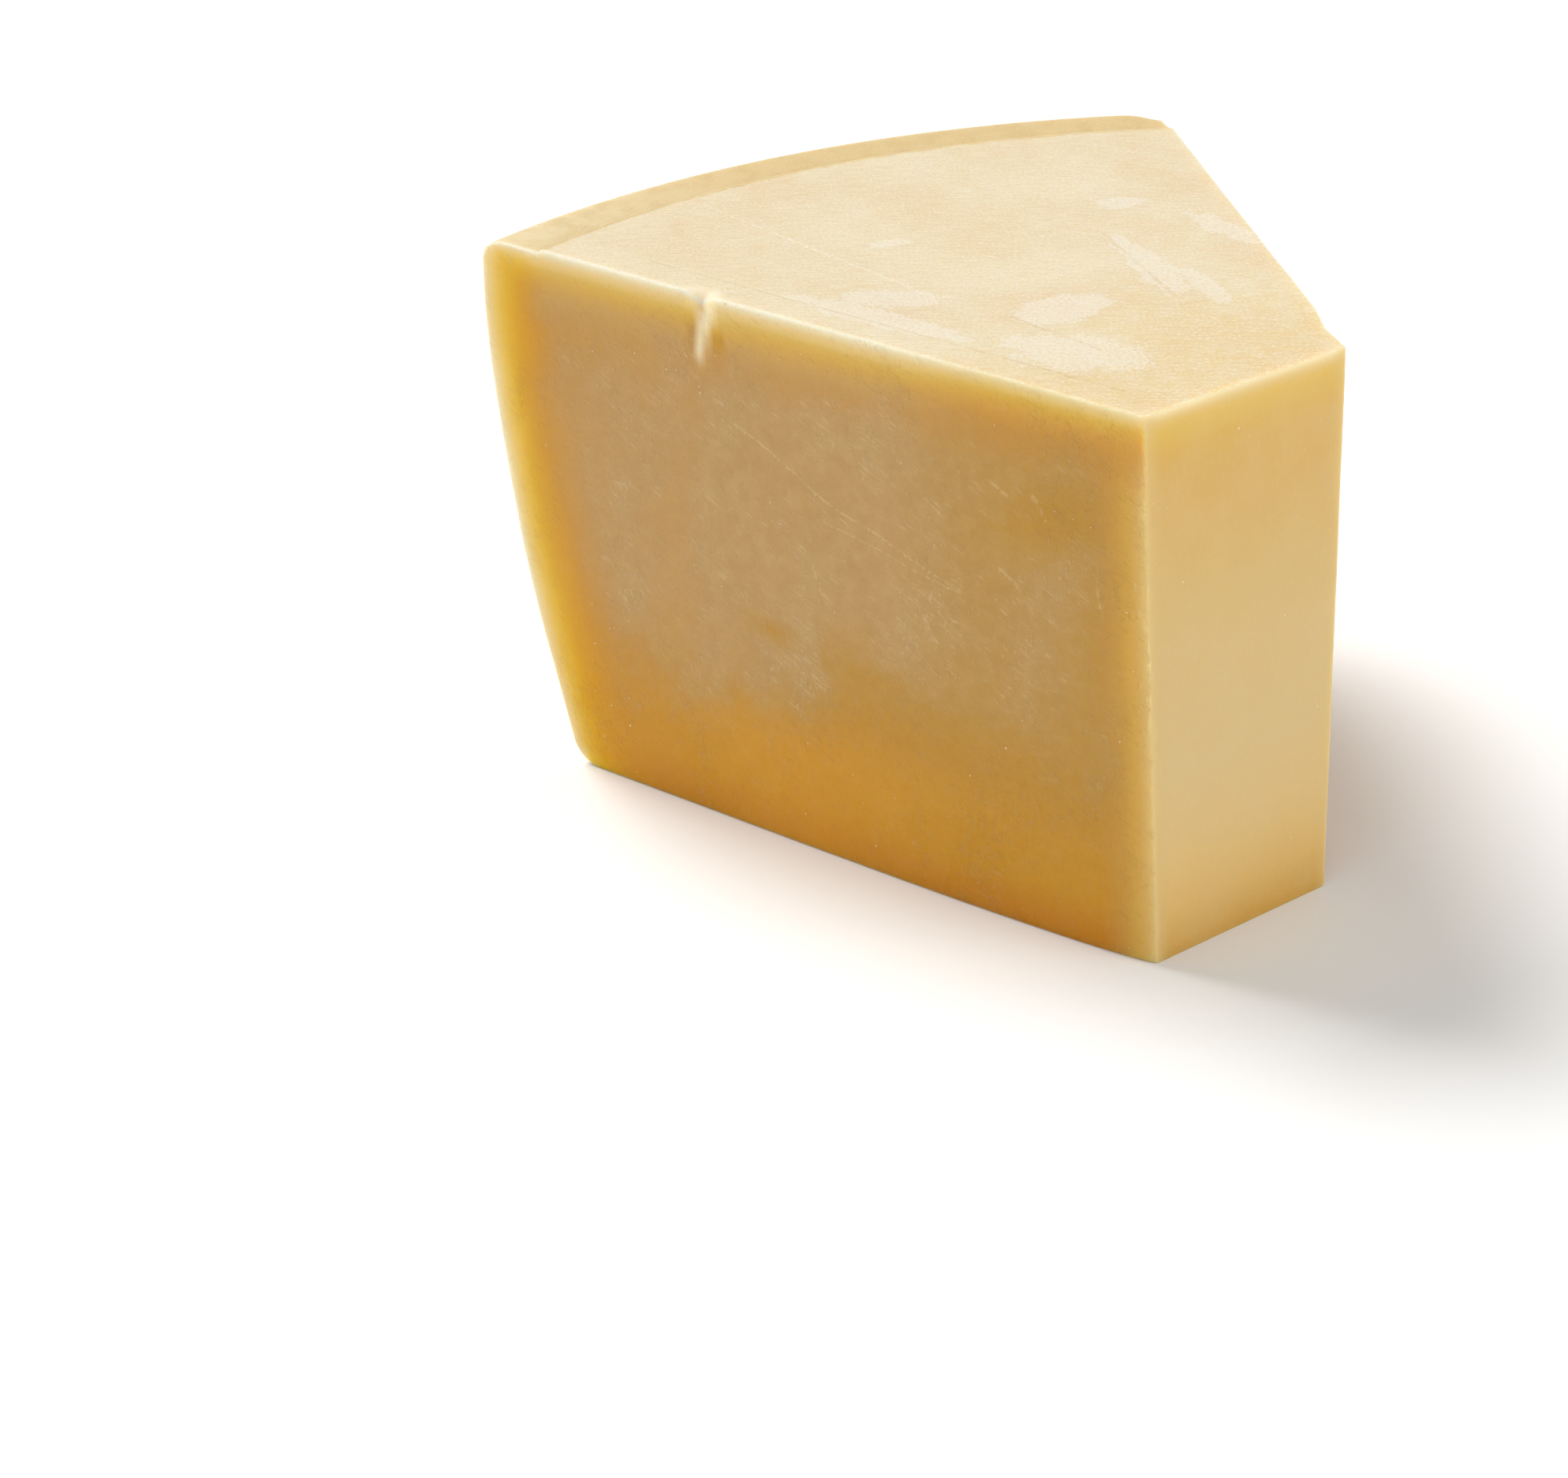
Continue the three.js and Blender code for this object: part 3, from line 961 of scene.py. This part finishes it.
def painted_edge_highlight(face, colour, share):
    """The painted highlight along the wedge's sharp edges: a pale line."""
    side = at_most(face.front, face.back)
    along_top = ease_off(face.top.maths("MAXIMUM", at_most(side, face.tip)), 0.15, 0.9)
    strength = ease(face.x, -105.0, -40.0, 0.9, 0.15)
    colour = mix(along_top * share * strength, colour, pigment(246, 236, 218, 1.16))
    along_tip = ease_off(face.tip.maths("MAXIMUM", side), 0.1, 1.1)
    return mix(along_tip * share * 0.5, colour, pigment(212, 185, 138, 1.12))


# How much of each colour shines through the cheese, and how deep, in metres.
SHINE_THROUGH = (1.0, 0.8, 0.5)
SHINE_DEPTH = 0.005

# How rough the cut sides are, and how rough the dry rind and flat sides.
CUT_ROUGHNESS = 0.46
DRY_ROUGHNESS = 0.62


def finish_material(tree, inputs):
    """Ends a material with a shader that has these inputs."""
    shader = tree.add("ShaderNodeBsdfPrincipled", {}, inputs)
    tree.add("ShaderNodeOutputMaterial", {}, {"Surface": shader})


def cheese_finish(name, paint, roughness, bump_strength, bump_reach=0.0003):
    """A finish of the wedge. The paint gives its colour and its fine height."""
    material, tree = new_material(name)
    face = Face(tree)
    colour, height = paint(face)
    # Painted highlight along the sharp edges.
    colour = painted_edge_highlight(face, colour, ease(noise(face.place, 0.5, 2.0), 0.3, 0.65, 0.35, 0.85))
    bump = {"Strength": bump_strength, "Distance": bump_reach, "Height": height}
    finish_material(tree, {
        "Base Color": colour,
        "Roughness": roughness - (height - 0.5) * 0.15,
        "Specular IOR Level": 0.25,
        "Subsurface Weight": 1.0,
        "Subsurface Radius": SHINE_THROUGH,
        "Subsurface Scale": SHINE_DEPTH,
        "Normal": tree.add("ShaderNodeBump", {}, bump),
    })
    return material


def crystal_material():
    material, tree = new_material("cheese_crystals")
    place = tree.add("ShaderNodeTexCoord", output="Object")
    shade = ease(noise(place, 900.0, 2.0), 0.35, 0.65)
    finish_material(tree, {
        "Base Color": mix(shade, pigment(232, 212, 170), pigment(214, 184, 134)),
        "Roughness": 0.45,
        "Specular IOR Level": 0.25,
        "Subsurface Weight": 0.5,
        "Subsurface Radius": (1.0, 0.8, 0.6),
        "Subsurface Scale": 0.001,
    })
    return material


def floor_material():
    material, tree = new_material("studio_floor")
    finish_material(tree, {
        "Base Color": (0.93, 0.93, 0.93, 1.0),
        "Roughness": 0.9,
        "Specular IOR Level": 0.1,
    })
    return material


# ---------------------------------------------------------------------------------------------
# Studio: camera, floor and lights.

# The camera, as worked out from the photograph. Its roll is a small turn about its own axis.
CAMERA_PLACE = (0.4061, -0.6328, 0.3950)
CAMERA_FORWARD = Vector((-0.5246, 0.7110, -0.4682))
CAMERA_RIGHT = Vector((0.8047, 0.5937, 0.0))
CAMERA_UP = Vector((-0.2780, 0.3767, 0.8836))
CAMERA_ROLL = 0.00875
LENS = 94.84
SENSOR = 36.0
FLOOR_REACH = 5.0


def add_camera():
    data = bpy.data.cameras.new("camera")
    data.sensor_fit = "HORIZONTAL"
    data.sensor_width = SENSOR
    data.lens = LENS
    data.clip_start = 0.01
    data.clip_end = 50.0
    camera = bpy.data.objects.new("camera", data)
    right = (CAMERA_RIGHT - CAMERA_ROLL * CAMERA_UP).normalized()
    up = (CAMERA_UP + CAMERA_ROLL * CAMERA_RIGHT).normalized()
    turn = Matrix((right, up, -CAMERA_FORWARD)).transposed().to_4x4()
    camera.matrix_world = Matrix.Translation(CAMERA_PLACE) @ turn
    bpy.context.scene.collection.objects.link(camera)
    bpy.context.scene.camera = camera


def add_light(name, kind, place, target, energy, size, colour):
    data = bpy.data.lights.new(name, kind)
    data.energy = energy
    data.color = colour
    if kind == "SUN":
        data.angle = size
    else:
        data.shape = "SQUARE"
        data.size = size
    light = bpy.data.objects.new(name, data)
    light.location = place
    towards = Vector(target) - Vector(place)
    light.rotation_euler = towards.to_track_quat("-Z", "Y").to_euler()
    bpy.context.scene.collection.objects.link(light)


def add_studio():
    middle = (0.0, 0.0, 0.05)
    white = (1.0, 1.0, 1.0)
    add_light("key", "SUN", (-1.0, 0.15, 1.25), (0.0, 0.0, 0.0), energy=2.9, size=math.radians(30),
              colour=(1.0, 0.985, 0.96))
    add_light("fill", "AREA", (1.5, 0.1, 0.35), middle, energy=16.0, size=1.2, colour=white)
    add_light("front", "AREA", (0.3, -1.6, 0.4), middle, energy=8.0, size=1.2, colour=white)
    scene = bpy.context.scene
    world = bpy.data.worlds.new("studio")
    scene.world = world
    world.use_nodes = True
    world.node_tree.nodes.clear()
    tree = Tree(world.node_tree)
    sky = tree.add("ShaderNodeBackground", {}, {"Color": (1.0, 1.0, 1.0, 1.0), "Strength": 0.34})
    tree.add("ShaderNodeOutputWorld", {}, {"Surface": sky})
    scene.view_settings.view_transform = "Standard"

    mesh = bpy.data.meshes.new("studio_floor")
    corners = [(side_x * FLOOR_REACH, side_y * FLOOR_REACH, 0.0)
               for side_x, side_y in ((-1, -1), (1, -1), (1, 1), (-1, 1))]
    mesh.from_pydata(corners, [], [(0, 1, 2, 3)])
    mesh.materials.append(floor_material())
    floor = bpy.data.objects.new("studio_floor", mesh)
    scene.collection.objects.link(floor)


add_camera()
add_studio()
side_finishes = {
    "long_cut": cheese_finish("cheese_long_cut", long_cut_paint, CUT_ROUGHNESS, 0.9, 0.0005),
    "tip_cut": cheese_finish("cheese_tip_cut", tip_cut_paint, CUT_ROUGHNESS, 0.3),
    "rind": cheese_finish("cheese_rind", rind_paint, DRY_ROUGHNESS, 0.5),
}
flat_finish = cheese_finish("cheese_flat_side", flat_paint, DRY_ROUGHNESS, 0.4)
wedge = grow("cheese_body", wedge_tree(side_finishes), SIZES, flat_finish)
crystals = grow("cheese_crystals", crystal_tree(), CRYSTAL_SIZES, crystal_material(), wedge.data.copy())
for piece in (wedge, crystals):
    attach(piece, "root")
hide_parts("cheese_wedge")
